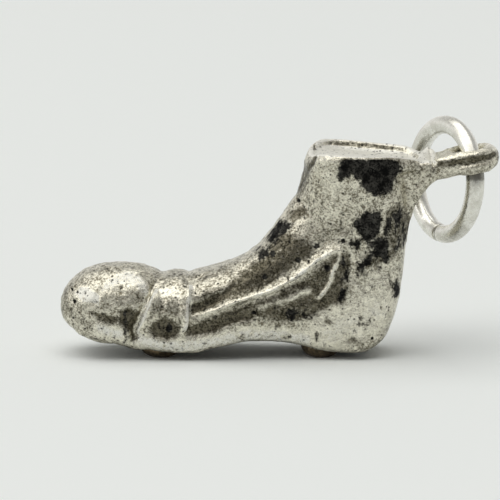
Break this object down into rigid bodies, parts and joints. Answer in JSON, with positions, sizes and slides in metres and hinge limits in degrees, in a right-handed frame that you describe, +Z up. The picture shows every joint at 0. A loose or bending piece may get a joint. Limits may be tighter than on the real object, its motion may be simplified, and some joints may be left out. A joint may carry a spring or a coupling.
{
  "type": "football boot charm",
  "caption": "Small cast metal football boot with an ankle-high leg, low oval studs under the sole, and a hanging eye at the collar with a loose jump ring through it.",
  "frame": {"origin": "on the surface that the studs stand on, under the middle of the charm's box", "axes": "+X from the toe to the heel and the hanging eye, +Y to the boot's far side, +Z up"},
  "size_m": [0.0238, 0.008, 0.0127],
  "materials": {
    "tarnished_silver": "cast white metal, tarnished black in patches",
    "stud_brass": "dull, brown with age",
    "bright_silver": "satin bright"
  },
  "bodies": {
    "boot": {"boot_casting": "tarnished_silver", "ball_stud_near": "stud_brass", "ball_stud_far": "stud_brass", "heel_stud_near": "stud_brass", "heel_stud_far": "stud_brass", "hanging_eye": "tarnished_silver"},
    "ring": {"jump_ring": "bright_silver"}
  },
  "joints": [
    {"name": "ring_swivel", "type": "hinge", "parent": "boot", "child": "ring", "pos_m": [0.01035, -0.00118, 0.01076], "axis": [-0.1564, 0, 0.9877], "range_deg": [-261, 20]}
  ]
}
